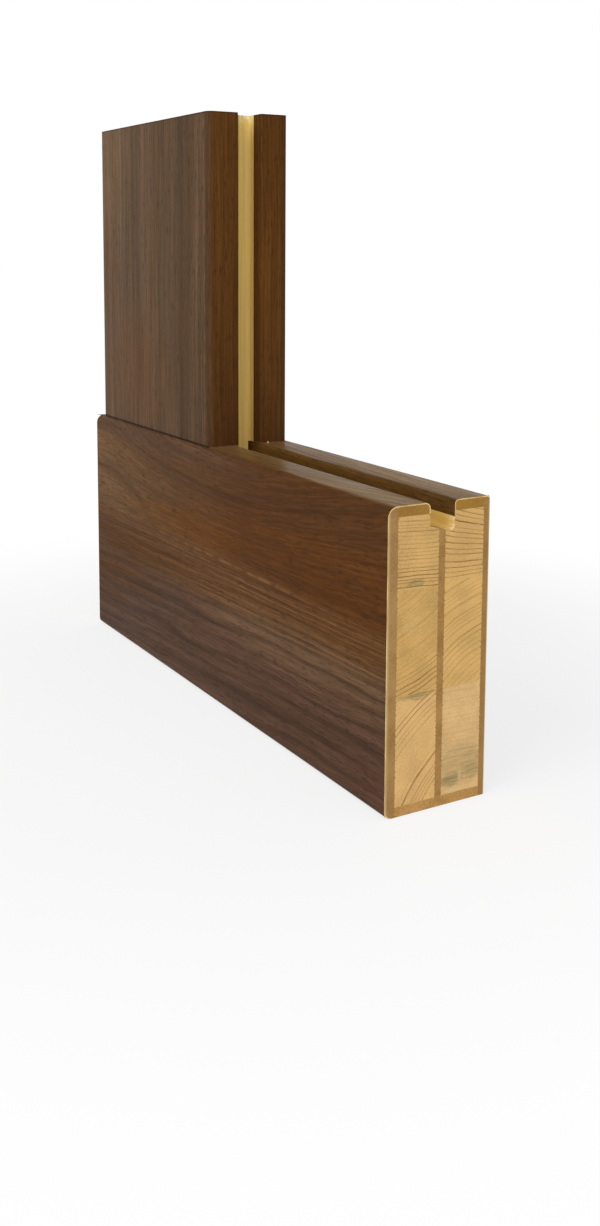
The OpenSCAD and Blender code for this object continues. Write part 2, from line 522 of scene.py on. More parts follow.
        # Painted sheen on the lip top, growing toward the sawn end.
        sheen_share = add(tree, "MapRange", run, *self.lip_sheen_fade)
        top = window(tree, past_edge, *self.lip_top, edge=3.0)
        # Painted shade down the groove wall.
        wall = add(tree, "MapRange", past_edge, *self.groove_wall_shade)
        return overlay(tree, colour, (Tone.STILE_LIP, on_lip), (Tone.LIP_SHEEN, sheen_share, top),
                       (Tone.GROOVE_SHADE, wall))

    def footed(self, tree: Tree, run: Socket, round_edge: Socket, past_edge: Socket,
               colour: Socket) -> Socket:
        """Marks the rail's film: painted shadow and shade at its foot, painted shade and a highlight at its
        rounding, and a darker top.

        Args:
            tree: the material's tree.
            run: the distance from the film's foot.
            round_edge: the distance round the member from its outer edge.
            past_edge: the same from the face's edge.
            colour: the colour so far.

        Returns:
            The marked colour.
        """
        # On the face the foot line is a painted shadow where the rail meets the stile; on the lip it is the
        # film's pale cut edge.
        on_lip = add(tree, "MapRange", past_edge, -1.5, 0.0, 0.0, 1.0)
        foot = overlay(tree, Tone.JOINT_SHADOW, (Tone.FOOT_LINE, on_lip))
        height = add(tree, "MapRange", on_lip, 0.0, 1.0, *self.foot_line)
        near = add(tree, "Math", run, height, operation="DIVIDE")
        near = add(tree, "MapRange", near, 0.5, 1.0, 0.9, 0.0, **SMOOTH)
        # Painted shade over the rounded front edge.
        rounding_shade = window(tree, past_edge, *self.rounding_shade, edge=1.2)
        # A painted highlight line just before the rounded edge, broken up along its length.
        rounding_highlight = add(tree, "MapRange", apart(tree, past_edge, self.rounding_highlight), 0.7, 0.2, 0.0, 0.6)
        highlight_breaks = streaks(tree, run, round_edge, length=7.0, width=1.2, seed=15.7)
        highlight_breaks = add(tree, "MapRange", highlight_breaks, 0.45, 0.6, 0.0, 1.0)
        # Painted shade on the inner half of the film near its foot, by the joint.
        low = add(tree, "MapRange", run, *self.foot_shade)
        inner = add(tree, "MapRange", round_edge, 0.6 * self.width, 0.9 * self.width, 0.0, 1.0)
        top = add(tree, "MapRange", run, self.length - 0.9, self.length - 0.3, 0.0, 0.7)
        return overlay(tree, colour, (foot, near), (Tone.SHADE, rounding_shade, self.rounding_shade_share),
                       (Tone.BRIGHT, rounding_highlight, highlight_breaks), (Tone.SHADE, low, inner), (Tone.SHADE, top))

    def pores(self, tree: Tree, along: Socket, grain: Socket) -> Socket:
        """Draws the short dark pores.

        Args:
            tree: the material's tree.
            along: the distance along the film.
            grain: the grain's own coordinate across it.

        Returns:
            How dark a pore is, from 0 to about a half.
        """
        dashes = streaks(tree, along, grain, *self.pore, seed=7.3, detail=1.0)
        crowding = streaks(tree, along, grain, length=30.0, width=6.0, seed=2.1, detail=1.0)
        limit = add(tree, "MapRange", crowding, 0.35, 0.65, 0.66, 0.56)
        depth = add(tree, "Math", dashes, limit, operation="SUBTRACT")
        return add(tree, "MapRange", depth, 0.0, 0.1, 0.0, 0.5)

    def striped(self, tree: Tree, along: Socket, grain: Socket, colour: Socket) -> Socket:
        """Varies a colour by every layer of streaks.

        Args:
            tree: the material's tree.
            along: the distance along the film.
            grain: the grain's own coordinate across it.
            colour: the colour under the stripes.

        Returns:
            The striped colour.
        """
        level = 1.0
        for layer in STREAK_LAYERS:
            drawn = streaks(tree, along, grain, layer.length * self.figure.value, layer.width, layer.seed)
            drawn = add(tree, "MapRange", drawn, 0.3, 0.7, 1 - layer.share, 1 + layer.share)
            level = add(tree, "Math", level, drawn, operation="MULTIPLY")
        return add(tree, "VectorMath", colour, operation="SCALE", Scale=level)

    def cathedral(self, tree: Tree, along: Socket, girth: Socket) -> tuple[Socket, Socket]:
        """Prints the flat-sawn figure: a smooth heart above one crisp line, and fine stripes below it.

        Args:
            tree: the material's tree.
            along: the distance along the film.
            girth: the distance across it, which is the height on the flat front.

        Returns:
            The print's colour, and the grain's own coordinate across the film.
        """
        share = add(tree, "Math", along, self.length, operation="DIVIDE")
        upper = self.curve(tree, share, UPPER_CURVE)
        lower = self.curve(tree, share, LOWER_CURVE)
        grain = self.sagging(tree, along, girth, share, upper)
        low = add(tree, "MapRange", grain, *self.sap_below, **SMOOTH)
        deepening = add(tree, "MapRange", along, *self.crown_deepens)
        crown = overlay(tree, Tone.CROWN_PALE, (Tone.CROWN_DEEP, deepening))
        high = add(tree, "MapRange", girth, self.heart_line - 1, self.heart_line + 2, 0.0, 1.0)
        shown = self.back_patch_share if self.turned else 1.0
        patches = [(tone, patch.cover(tree, along, girth), shown) for tone, patch in HEART_PATCHES]
        colour = overlay(tree, Tone.GROUND, (Tone.SAP, low), (crown, high), *patches)
        colour = self.lined(tree, along, grain, colour)
        for curve, width, depth, fade in ((upper, 3.0, 0.3, self.upper_fade),
                                          (lower, 4.0, 0.45, self.lower_fade)):
            dark = add(tree, "MapRange", apart(tree, girth, curve), width, 0.0, 0.0, depth, **SMOOTH)
            colour = overlay(tree, colour, (Tone.SHADE, dark, add(tree, "MapRange", along, *fade, **SMOOTH)))
        crisp = add(tree, "MapRange", apart(tree, girth, self.heart_line - 0.4), 0.8, 0.0, 0.0, 0.8)
        broken = streaks(tree, along, girth, length=9.0, width=40.0, seed=5.1)
        broken = add(tree, "MapRange", broken, 0.38, 0.58, 0.05, 1.0)
        middle = window(tree, along, *self.crisp_stretch, edge=30.0)
        return overlay(tree, colour, (Tone.BRIGHT, crisp, middle, broken)), grain

    def sagging(self, tree: Tree, along: Socket, girth: Socket, share: Socket, upper: Socket) -> Socket:
        """Bends the grain: it hangs over the heart like the upper curve, and sinks along the stripes.

        Args:
            tree: the material's tree.
            along: the distance along the film.
            girth: the distance across it.
            share: the place along the film, from 0 to 1.
            upper: the upper curve's place across the film.

        Returns:
            The grain's own coordinate across the film, with a slight sway.
        """
        over_line = add(tree, "Math", girth, self.heart_line, operation="SUBTRACT")
        span = add(tree, "Math", upper, self.heart_line, operation="SUBTRACT")
        ratio = add(tree, "Math", over_line, span, operation="DIVIDE")
        above = add(tree, "Math", ratio, self.heart_rise, self.heart_line, operation="MULTIPLY_ADD")
        fall = add(tree, "MapRange", girth, 38.0, self.heart_line, 12.0, 3.0)
        fall = add(tree, "Math", share, fall, operation="MULTIPLY")
        below = add(tree, "Math", girth, fall, operation="SUBTRACT")
        in_heart = add(tree, "Math", girth, self.heart_line, operation="GREATER_THAN")
        grain = add(tree, "Mix", in_heart, below, above, data_type="FLOAT")
        sway = streaks(tree, along, girth, length=45.0, width=14.0, seed=11.3, detail=1.0)
        return add(tree, "Math", sway, 2.0, grain, operation="MULTIPLY_ADD")

    def lined(self, tree: Tree, along: Socket, grain: Socket, colour: Socket) -> Socket:
        """Rules the ground below the heart: fine light and dark lines, then broad dark bands lower down.

        Args:
            tree: the material's tree.
            along: the distance along the film.
            grain: the grain's own coordinate across it.
            colour: the colour under the lines.

        Returns:
            The ruled colour.
        """
        zone = window(tree, grain, self.lines_start, self.heart_line - 1, edge=12.0)
        clearer = add(tree, "MapRange", along, *self.lines_clear_up)
        zone = add(tree, "Math", zone, clearer, operation="MULTIPLY")
        fine = streaks(tree, along, grain, length=130.0, width=1.4, seed=8.8, detail=1.5)
        light = add(tree, "MapRange", fine, 0.5, 0.75, 0.0, 0.42)
        dark = add(tree, "MapRange", fine, 0.48, 0.25, 0.0, 0.55)
        sway = streaks(tree, along, grain, length=80.0, width=15.0, seed=3.9, detail=1.0)
        waved = add(tree, "Math", sway, 9.0, grain, operation="MULTIPLY_ADD")
        turns = add(tree, "Math", waved, 2 * math.pi / self.band_spacing, operation="MULTIPLY")
        bands = add(tree, "MapRange", add(tree, "Math", turns, operation="SINE"), -0.05, 1.0, 0.0, 0.46)
        low = add(tree, "MapRange", grain, *self.bands_below)
        return overlay(tree, colour, (Tone.BRIGHT, light, zone), (Tone.SHADE, dark, zone),
                       (Tone.SHADE, bands, low))

    def curve(self, tree: Tree, share: Socket, points: Sequence[Pair]) -> Socket:
        """Draws one curve of the figure.

        Args:
            tree: the material's tree.
            share: the place along the film, from 0 to 1.
            points: the curve's points, along and across.

        Returns:
            The curve's place across the film.
        """
        drawn = add(tree, "FloatCurve", 1.0, share)
        set_curve(drawn, [(along / self.length, across / self.curve_height) for along, across in points])
        return add(tree, "Math", drawn, self.curve_height, operation="MULTIPLY")

    def straight(self, tree: Tree, along: Socket, girth: Socket) -> tuple[Socket, Socket]:
        """Prints the quarter-sawn figure: soft straight stripes, some of them darker.

        Args:
            tree: the material's tree.
            along: the distance along the film.
            girth: the distance across it.

        Returns:
            The print's colour, and the grain's own coordinate across the film.
        """
        sway = streaks(tree, along, girth, length=160.0, width=60.0, seed=5.5, detail=1.0)
        grain = add(tree, "Math", sway, 6.0, girth, operation="MULTIPLY_ADD")
        grain = add(tree, "Math", grain, 3.0, operation="SUBTRACT")
        share = add(tree, "Math", grain, self.stripes_end, operation="DIVIDE")
        tone = add(tree, "FloatCurve", 1.0, share)
        set_curve(tone, [(across / self.stripes_end, level) for across, level in STRIPES])
        warm = streaks(tree, along, grain, length=200.0, width=5.0, seed=13.1)
        warm = add(tree, "MapRange", warm, 0.5, 0.7, 0.0, 0.45)
        for patch in WARM_PATCHES:
            warm = add(tree, "Math", warm, patch.cover(tree, along, girth), operation="MAXIMUM")
        pale = PALE_PATCH.cover(tree, along, girth)
        colour = overlay(tree, Tone.STRIPE_DARK, (Tone.STRIPE_LIGHT, tone), (Tone.STRIPE_WARM, warm),
                         (Tone.STRIPE_PALE, pale))
        return colour, grain


@dataclass(frozen=True)
class FilmCore(Finish):
    """The film's own PVC, cream all through, slit and sawn.

    It gives the eye a thin pale edge, mottled by dirt in patches of about 7 mm, and dull all over on the
    leaf's back face.
    """

    name: str = "cream_pvc_film_edge"
    colour: str = "#E6C684"
    dull: str = "#BA9862"
    patches_per_m: float = 150.0
    back_m: Pair = (0.0217, 0.0221)

    def surface(self, tree: Tree) -> Socket:
        """Draws the film's cut edge and its inner side.

        Args:
            tree: the material's tree.

        Returns:
            The film's shader.
        """
        place = add(tree, "TexCoord").node.outputs["Object"]
        worn = add(tree, "TexNoise", Vector=place, Scale=self.patches_per_m, Detail=3.0)
        worn = add(tree, "MapRange", worn, 0.38, 0.62, 0.0, 1.0)
        depth = add(tree, "SeparateXYZ", place).node.outputs["Y"]
        at_back = add(tree, "MapRange", depth, *self.back_m, 0.0, 0.9)
        worn = add(tree, "Math", worn, at_back, operation="MAXIMUM")
        colour = overlay(tree, self.colour, (self.dull, worn))
        return add(tree, "BsdfPrincipled", Base_Color=colour, Roughness=0.55)


@dataclass(frozen=True)
class SawnFibreboard(Finish):
    """Medium-density fibreboard, sawn across: an even tan felt of short fibres with a denser paler skin.

    It gives the eye a dull, finely clouded tan. Real fibres are far under 0.1 mm wide, too fine for the
    picture, so they are drawn as grains of about 1 mm.
    """

    section: SectionFrame
    colour: str
    skin_depth: float = 0.0
    dark: str = "#8A6736"
    skin: str = "#C9A97E"
    grains_per_mm: float = 1.1
    clouds_per_mm: float = 0.12

    def surface(self, tree: Tree) -> Socket:
        """Draws the board.

        Args:
            tree: the material's tree.

        Returns:
            The board's shader.
        """
        through, across, along = self.section.sockets(tree)
        place = add(tree, "CombineXYZ", through, across, along)
        fibre = add(tree, "TexNoise", Vector=place, Scale=self.grains_per_mm, Detail=3.0, Roughness=0.6)
        clouds = add(tree, "TexNoise", Vector=place, Scale=self.clouds_per_mm, Detail=1.0)
        amount = add(tree, "Math", fibre, clouds, operation="MULTIPLY")
        amount = add(tree, "MapRange", amount, 0.15, 0.38, 0.0, 0.6)
        colour = overlay(tree, self.colour, (self.dark, amount))
        if self.skin_depth:
            ragged = add(tree, "Math", fibre, 0.9, self.skin_depth, operation="MULTIPLY_ADD")
            depth = add(tree, "Math", through, ragged, operation="SUBTRACT")
            pale = add(tree, "MapRange", depth, -0.8, 0.35, 0.8, 0.0, **SMOOTH)
            colour = overlay(tree, colour, (self.skin, pale))
        bump = add(tree, "Bump", Strength=0.5, Distance=0.00015, Height=fibre)
        return add(tree, "BsdfPrincipled", Base_Color=colour, Roughness=0.85, Normal=bump,
                   Specular_IOR_Level=0.1)


# How dark a ring's wood is from its start to its end, both from 0 to 1.
LATE_WOOD = ((0.0, 0.05), (0.1, 0.0), (0.6, 0.02), (0.8, 0.2), (0.9, 1.0), (0.96, 0.8), (1.0, 0.05))


@dataclass(frozen=True)
class Stain:
    """A stain in the sawn end, an ellipse with a ragged edge, by its middle and half sizes in the section."""

    centre: Pair
    reach: Pair
    strength: float
    colour: str = "#978A62"


@dataclass(frozen=True)
class SawnPine(Finish):
    """Radiata pine, sawn: dull pale yellow early wood ruled by thin brown rings, with plain sides.

    The bold rings are given by their distances from the tree's heart, and the sides by their places
    through the thickness, where the saw tore a ragged line into the board beside the lath. The wood's
    fibres are too fine for the picture, so they are drawn as flecks of about 0.6 mm.
    """

    section: SectionFrame
    heart: Pair
    ring: float
    bold_rings: tuple[Pair, ...]
    faint: float = 0.22
    bold: float = 0.85
    fan: float = 0.0
    fan_from: Pair = (27.0, 86.0)
    early: str = "#D2A96A"
    late: str = "#80562A"
    side: str = "#E2C474"
    torn: str = "#9C7540"
    fuzz: str = "#F0E2B4"
    stains: tuple[Stain, ...] = ()
    seed: float = 0.0
    sawn_at: float = 272.0
    sides: Pair = (0.0, 45.0)
    flecks_per_mm: float = 1.6
    clouds_per_mm: float = 0.11

    def surface(self, tree: Tree) -> Socket:
        """Draws the lath's wood.

        Args:
            tree: the material's tree.

        Returns:
            The wood's shader.
        """
        through, across, along = self.section.sockets(tree)
        drawn_out = add(tree, "Math", along, 0.03, self.seed, operation="MULTIPLY_ADD")
        place = add(tree, "CombineXYZ", through, across, drawn_out)
        radius = self.from_heart(tree, through, across, place)
        ring = self.rings(tree, radius)
        line = self.late_wood(tree, ring)
        fleck = add(tree, "TexNoise", Vector=place, Scale=self.flecks_per_mm, Detail=3.0)
        cloud = add(tree, "TexNoise", Vector=place, Scale=self.clouds_per_mm, Detail=2.0)
        level = add(tree, "MapRange", add(tree, "Math", fleck, cloud, operation="ADD"), 0.7, 1.3, 0.85, 1.13)
        wood = overlay(tree, self.early, (self.late, line, self.strength(tree, radius, ring, place)))
        wood = add(tree, "VectorMath", wood, operation="SCALE", Scale=level)
        stains = [(stain.colour, *self.stained(tree, stain, through, across, place)) for stain in self.stains]
        wood = overlay(tree, wood, *stains, (self.torn, self.torn_edge(tree, through, across)))
        wood = overlay(tree, self.long_grain(tree, through, across, along), (wood, self.end_share(tree)))
        relief = add(tree, "Math", fleck, line, operation="ADD")
        bump = add(tree, "Bump", Strength=0.4, Distance=0.0001, Height=relief)
        return add(tree, "BsdfPrincipled", Base_Color=wood, Roughness=0.75, Normal=bump,
                   Specular_IOR_Level=0.12)

    def from_heart(self, tree: Tree, through: Socket, across: Socket, place: Socket) -> Socket:
        """Measures the distance from the tree's heart, with a slight waver.

        Args:
            tree: the material's tree.
            through: the distance through the section.
            across: the distance across it.
            place: the same two with the lath's own seed.

        Returns:
            The distance, which grows toward one corner where the rings fan out.
        """
        radius = ellipse(tree, through, across, self.heart)
        waver = add(tree, "TexNoise", Vector=place, Scale=0.12, Detail=3.0, Roughness=0.4)
        radius = add(tree, "Math", waver, 0.9, radius, operation="MULTIPLY_ADD")
        if not self.fan:
            return radius
        lean, height = (add(tree, "Math", axis, middle, operation="SUBTRACT")
                        for axis, middle in zip((through, across), self.fan_from))
        corner = add(tree, "Math", lean, height, operation="MULTIPLY")
        return add(tree, "Math", corner, self.fan, radius, operation="MULTIPLY_ADD")

    def rings(self, tree: Tree, radius: Socket) -> Socket:
        """Counts the rings from the heart outwards, with uneven widths.

        Args:
            tree: the material's tree.
            radius: the distance from the heart.

        Returns:
            The count, with the place in the ring as its fraction.
        """
        count = add(tree, "Math", radius, self.ring, operation="DIVIDE")
        uneven = add(tree, "TexNoise", W=count, Scale=0.45, Detail=0.0, noise_dimensions="1D")
        return add(tree, "Math", uneven, 1.1, count, operation="MULTIPLY_ADD")

    def torn_edge(self, tree: Tree, through: Socket, across: Socket) -> Socket:
        """Draws the ragged line, in teeth of about 1 mm, along the lath's two long sides in the sawn end.

        Args:
            tree: the material's tree.
            through: the distance through the section.
            across: the distance across it.

        Returns:
            How much of the torn colour shows.
        """
        nearest = add(tree, "Math", *(apart(tree, through, side) for side in self.sides), operation="MINIMUM")
        teeth = add(tree, "TexNoise", W=across, Scale=0.9, Detail=2.0, noise_dimensions="1D")
        reach = add(tree, "MapRange", teeth, 0.45, 0.72, 0.0, 0.5)
        depth = add(tree, "Math", reach, nearest, operation="SUBTRACT")
        return add(tree, "MapRange", depth, 0.0, 0.15, 0.0, 0.8)

    def late_wood(self, tree: Tree, ring: Socket) -> Socket:
        """Draws each ring's late wood, which deepens slowly and stops sharply."""
        line = add(tree, "FloatCurve", 1.0, add(tree, "Math", ring, operation="FRACT"))
        return set_curve(line, LATE_WOOD)

    def strength(self, tree: Tree, radius: Socket, ring: Socket, place: Socket) -> Socket:
        """Says how dark the rings are: bold at the named distances from the heart, and faint elsewhere.

        Args:
            tree: the material's tree.
            radius: the distance from the heart.
            ring: the count of rings.
            place: the place in the lath.

        Returns:
            The rings' strength, which varies from ring to ring and along each.
        """
        share = 0.0
        for low, high in self.bold_rings:
            band = window(tree, radius, low, high, edge=3.0)
            share = add(tree, "Math", share, band, operation="MAXIMUM")
        share = add(tree, "MapRange", share, 0.0, 1.0, self.faint, self.bold)
        varied = add(tree, "TexNoise", W=ring, Scale=0.9, noise_dimensions="1D")
        varied = add(tree, "MapRange", varied, 0.3, 0.7, 0.45, 1.15)
        broken = add(tree, "TexNoise", Vector=place, Scale=0.22)
        broken = add(tree, "MapRange", broken, 0.35, 0.65, 0.6, 1.15)
        share = add(tree, "Math", share, varied, operation="MULTIPLY")
        return add(tree, "Math", share, broken, operation="MULTIPLY", use_clamp=True)

    def stained(self, tree: Tree, stain: Stain, through: Socket, across: Socket,
                place: Socket) -> tuple[Socket, Socket]:
        """Shapes one stain, with level streaks in it.

        Args:
            tree: the material's tree.
            stain: the stain.
            through: the distance through the section.
            across: the distance across it.
            place: the place in the lath.

        Returns:
            The shares of the ragged ellipse and of its streaks.
        """
        ragged = add(tree, "TexNoise", Vector=place, Scale=0.5, Detail=4.0, Roughness=0.65)
        radius = ellipse(tree, through, across, stain.centre, stain.reach)
        radius = add(tree, "Math", ragged, radius, operation="ADD")
        inside = add(tree, "MapRange", radius, 1.7, 1.1, 0.0, stain.strength, **SMOOTH)
        level = streaks(tree, through, across, length=9.0, width=0.7, seed=3.3 + self.seed)
        return inside, add(tree, "MapRange", level, 0.35, 0.65, 0.3, 1.0)

    def end_share(self, tree: Tree) -> Socket:
        """Tells the sawn ends, which show rings, from the sides, which show long grain.

        Args:
            tree: the material's tree.

        Returns:
            1 on the sawn ends and 0 on the sides.
        """
        normal = add(tree, "NewGeometry").node.outputs["True Normal"]
        facing = add(tree, "SeparateXYZ", normal).node.outputs[self.section.order[2]]
        facing = add(tree, "Math", facing, operation="ABSOLUTE")
        return add(tree, "Math", facing, 0.7, operation="GREATER_THAN")

    def long_grain(self, tree: Tree, through: Socket, across: Socket, along: Socket) -> Socket:
        """Draws the planed sides: an even yellow with faint lines, and pale fuzz beside the saw cut.

        Args:
            tree: the material's tree.
            through: the distance through the section.
            across: the distance across it.
            along: the distance along the lath.

        Returns:
            The sides' colour.
        """
        girth = add(tree, "Math", through, across, operation="ADD")
        lines = streaks(tree, along, girth, length=50.0, width=0.9, seed=6.1)
        level = add(tree, "MapRange", lines, 0.3, 0.7, 0.93, 1.05)
        wood = add(tree, "VectorMath", linear(self.side)[:3], operation="SCALE", Scale=level)
        fuzz = add(tree, "MapRange", along, self.sawn_at - 4.0, self.sawn_at - 0.5, 0.0, 1.0)
        broken = streaks(tree, along, girth, length=3.0, width=1.3, seed=8.2, detail=3.0)
        broken = add(tree, "MapRange", broken, 0.42, 0.58, 0.0, 0.8)
        return overlay(tree, wood, (self.fuzz, fuzz, broken))


@dataclass(frozen=True)
class Mottled(Finish):
    """The finish of a speck such as set glue or a torn flake: it gives the eye one soft colour, clouded.

    The clouds are half a millimetre across, as coarse as a speck of 1 to 2 mm can show.
    """

    colour: str
    cloud: str
    roughness: float
    cloud_mm: float = 0.5

    def surface(self, tree: Tree) -> Socket:
        """Draws the clouded speck.

        Args:
            tree: the material's tree.

        Returns:
            The speck's shader.
        """
        place = add(tree, "TexCoord").node.outputs["Object"]
        clouded = add(tree, "TexNoise", Vector=place, Scale=1 / (self.cloud_mm * MM), Detail=2.0)
        clouded = add(tree, "MapRange", clouded, 0.4, 0.6, 0.0, 1.0)
        colour = overlay(tree, self.colour, (self.cloud, clouded))
        return add(tree, "BsdfPrincipled", Base_Color=colour, Roughness=self.roughness)


def make_piece(name: str, shape: bmesh.types.BMesh, *coats: bpy.types.Material) -> bpy.types.Object:
    """Turns a shape into a smooth-shaded object in the scene.

    Args:
        name: the object's name.
        shape: its mesh, which is used up.
        coats: its materials, in the order of their slots.

    Returns:
        The object.
    """
    for face in shape.faces:
        face.smooth = True
    mesh = bpy.data.meshes.new(name)
    shape.to_mesh(mesh)
    shape.free()
    for coat in coats:
        mesh.materials.append(coat)
    piece = bpy.data.objects.new(name, mesh)
    bpy.context.scene.collection.objects.link(piece)
    return piece


def settle(piece: bpy.types.Object, sharp: float = 35.0) -> None:
    """Applies a piece's modifiers and keeps its hard edges hard under smooth shading.

    Args:
        piece: the piece, with its modifiers live.
        sharp: the angle between two faces, in degrees, past which their edge stays hard.
    """
    graph = bpy.context.evaluated_depsgraph_get()
    mesh = bpy.data.meshes.new_from_object(piece.evaluated_get(graph), depsgraph=graph)
    piece.modifiers.clear()
    mesh.name = piece.name
    piece.data = mesh
    mesh.set_sharp_from_angle(angle=math.radians(sharp))


@dataclass(frozen=True)
class Bend:
    """A quarter turn of the film round a rounded edge of the wood, with its outer radius."""

    radius: float


@dataclass(frozen=True)
class Run:
    """A flat stretch of the film."""

    length: float


@dataclass
class FilmWrap:
    """One sheet of film, bent over a member from its slit edge on the outer side into the groove."""

    section: SectionFrame
    side: Side
    length: float
    start: Pair
    steps: tuple[Bend | Run, ...]
    thickness: float = 0.4
    bend_segments: int = 8

    def build(self, coat: bpy.types.Material, core: bpy.types.Material) -> bpy.types.Object:
        """Makes the sheet and gives it its printed side and its pale edge.

        Args:
            coat: the printed side's material.
            core: the material of the cut edges and the inner side.

        Returns:
            The film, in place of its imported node.
        """
        shape = bmesh.new()
        girth = shape.verts.layers.float.new("girth")
        self.press_profile(shape, girth)
        drawn = bmesh.ops.extrude_edge_only(shape, edges=shape.edges[:])["geom"]
        far = [item for item in drawn if isinstance(item, bmesh.types.BMVert)]
        bmesh.ops.translate(shape, verts=far, vec=self.section.direction(0, 0, self.length) * MM)
        outward = self.section.direction(-1 if self.side is Side.FRONT else 1, 0, 0)
        widest = max(shape.faces, key=lambda face: face.calc_area())
        if widest.normal.dot(outward) < 0:
            bmesh.ops.reverse_faces(shape, faces=shape.faces[:])
        self.unroll(shape, girth)
        node = f"{self.section.member.value}_{self.side.value}_film"
        piece = make_piece(f"{node}_wrap", shape, coat, core)
        wall = piece.modifiers.new("film_thickness", "SOLIDIFY")
        wall.thickness, wall.offset = self.thickness * MM, -1.0
        wall.use_even_offset, wall.use_rim = True, True
        wall.material_offset = wall.material_offset_rim = 1
        settle(piece)
        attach(piece, BODY)
        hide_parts(node)
        return piece

    def press_profile(self, shape: bmesh.types.BMesh, girth: bmesh.types.BMLayerItem) -> None:
        """Draws the film's path over the section, from one vertex, by runs and bends.

        Args:
            shape: the mesh that takes the path.
            girth: the layer that keeps each vertex's place on the unrolled film.
        """
        point = Vector(self.start)
        heading = Vector((-1.0, 0.0)) if isinstance(self.steps[0], Bend) else Vector((0.0, 1.0))
        turn = -1.0 if self.side is Side.FRONT else 1.0
        vertex = bmesh.ops.create_vert(shape, co=self.section.place(*point, 0.0))["vert"][0]
        vertex[girth] = self.girth_start()
        for step in self.steps:
            inward = Vector((-heading.y, heading.x)) * turn
            if isinstance(step, Run):
                moves = [heading * step.length]
                length = step.length
            else:
                angles = [math.pi / 2 * part / self.bend_segments for part in range(self.bend_segments + 1)]
                arc = [heading * math.sin(angle) * step.radius + inward * (1 - math.cos(angle)) * step.radius
                       for angle in angles]
                moves = [after - before for before, after in zip(arc, arc[1:])]
                length = math.pi / 2 * step.radius / self.bend_segments
                heading = inward
            for move in moves:
                point = point + move
                made = bmesh.ops.extrude_vert_indiv(shape, verts=[vertex])["verts"][0]
                made.co = self.section.place(*point, 0.0)
                made[girth] = vertex[girth] + length
                vertex = made

    def girth_start(self) -> float:
        """Gives the unrolled place of the first vertex, so that on the flat face it is the height across."""
        first = self.steps[0]
        return first.radius * (1 - math.pi / 2) if isinstance(first, Bend) else self.start[1]

    def unroll(self, shape: bmesh.types.BMesh, girth: bmesh.types.BMLayerItem) -> None:
        """Lays the film's map out flat, in metres along the member and round it.

        Args:
            shape: the film's outer side.
            girth: the layer that holds each vertex's place round the member.
        """
        unrolled = shape.loops.layers.uv.new("unrolled")
        axis = self.section.order[2]
        begin = self.section.origin[axis] * MM
        for face in shape.faces:
            for loop in face.loops:
                loop[unrolled].uv = (loop.vert.co[axis] - begin, loop.vert[girth] * MM)


